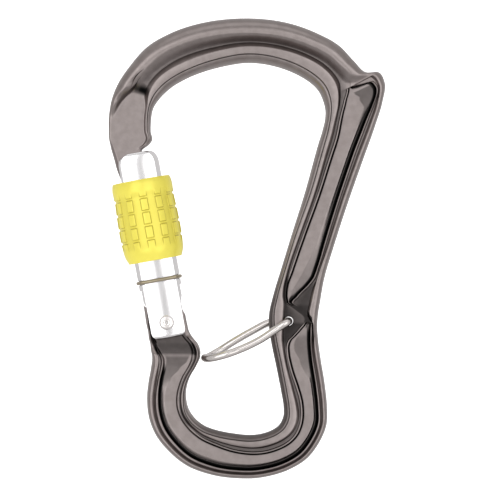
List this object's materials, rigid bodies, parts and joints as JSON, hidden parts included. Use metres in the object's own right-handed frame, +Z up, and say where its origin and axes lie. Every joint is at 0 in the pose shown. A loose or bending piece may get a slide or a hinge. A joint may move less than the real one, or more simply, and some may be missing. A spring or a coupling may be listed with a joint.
{
  "type": "locking carabiner",
  "caption": "Offset-D screw-lock carabiner in pocketed forged aluminium with a yellow knurled sleeve, a polished gate and a captive wire bail that keeps it from turning",
  "frame": {"origin": "the top of the bow's inside, at mid-thickness, where a rope or sling carries it", "axes": "+Z up along its length to the bow, +X to the spine, Y through its thickness with the front at -Y"},
  "size_m": [0.0702, 0.0158, 0.117],
  "materials": {
    "frame_anodised": "grey anodised forging, satin",
    "gate_aluminium": "bright polished aluminium",
    "rivet_steel": "polished domed head",
    "spring_steel": "drawn spring steel",
    "ring_steel": "bronze-grey drawn wire",
    "sleeve_anodised": "yellow anodised, semi-gloss",
    "wire_steel": "bright drawn stainless wire"
  },
  "bodies": {
    "frame": {"forged_frame": "frame_anodised"},
    "gate": {"gate": "gate_aluminium", "gate_rivet": "rivet_steel", "gate_spring": "spring_steel", "stop_ring": "ring_steel"},
    "plunger": {"spring_plunger": "spring_steel"},
    "thread": {"sleeve_thread": "gate_aluminium"},
    "sleeve": {"locking_sleeve": "sleeve_anodised"},
    "wire": {"wire_bail": "wire_steel"}
  },
  "joints": [
    {"name": "gate_hinge", "type": "hinge", "parent": "frame", "child": "gate", "pos_m": [-0.0206, 0, -0.0659], "axis": [0, 1, 0], "range_deg": [0, 45], "stiffness_Nm_per_rad": 0.03, "springref_deg": -17.19},
    {"name": "plunger_slide", "type": "slide", "parent": "gate", "child": "plunger", "axis": [-0.1805, 0, 0.9836], "range_m": [0, 0.0017], "deforming": ["gate_spring"]},
    {"name": "sleeve_travel", "type": "slide", "parent": "gate", "child": "thread", "axis": [-0.1805, 0, 0.9836], "range_m": [-0.0043, 0.0056]},
    {"name": "sleeve_turn", "type": "hinge", "parent": "thread", "child": "sleeve", "pos_m": [-0.0254, 0, -0.0398], "axis": [-0.1805, 0, 0.9836], "range_deg": [-470, 612]},
    {"name": "wire_pivot", "type": "hinge", "parent": "frame", "child": "wire", "pos_m": [0.0103, 0, -0.0656], "axis": [0, -1, 0], "range_deg": [0, 45], "stiffness_Nm_per_rad": 0.005, "springref_deg": -17.19}
  ],
  "couplings": [
    {"joint": "plunger_slide", "follows": "gate_hinge", "m_per_rad": 0.0020372},
    {"joint": "sleeve_turn", "follows": "sleeve_travel", "rad_per_m": 1904}
  ]
}
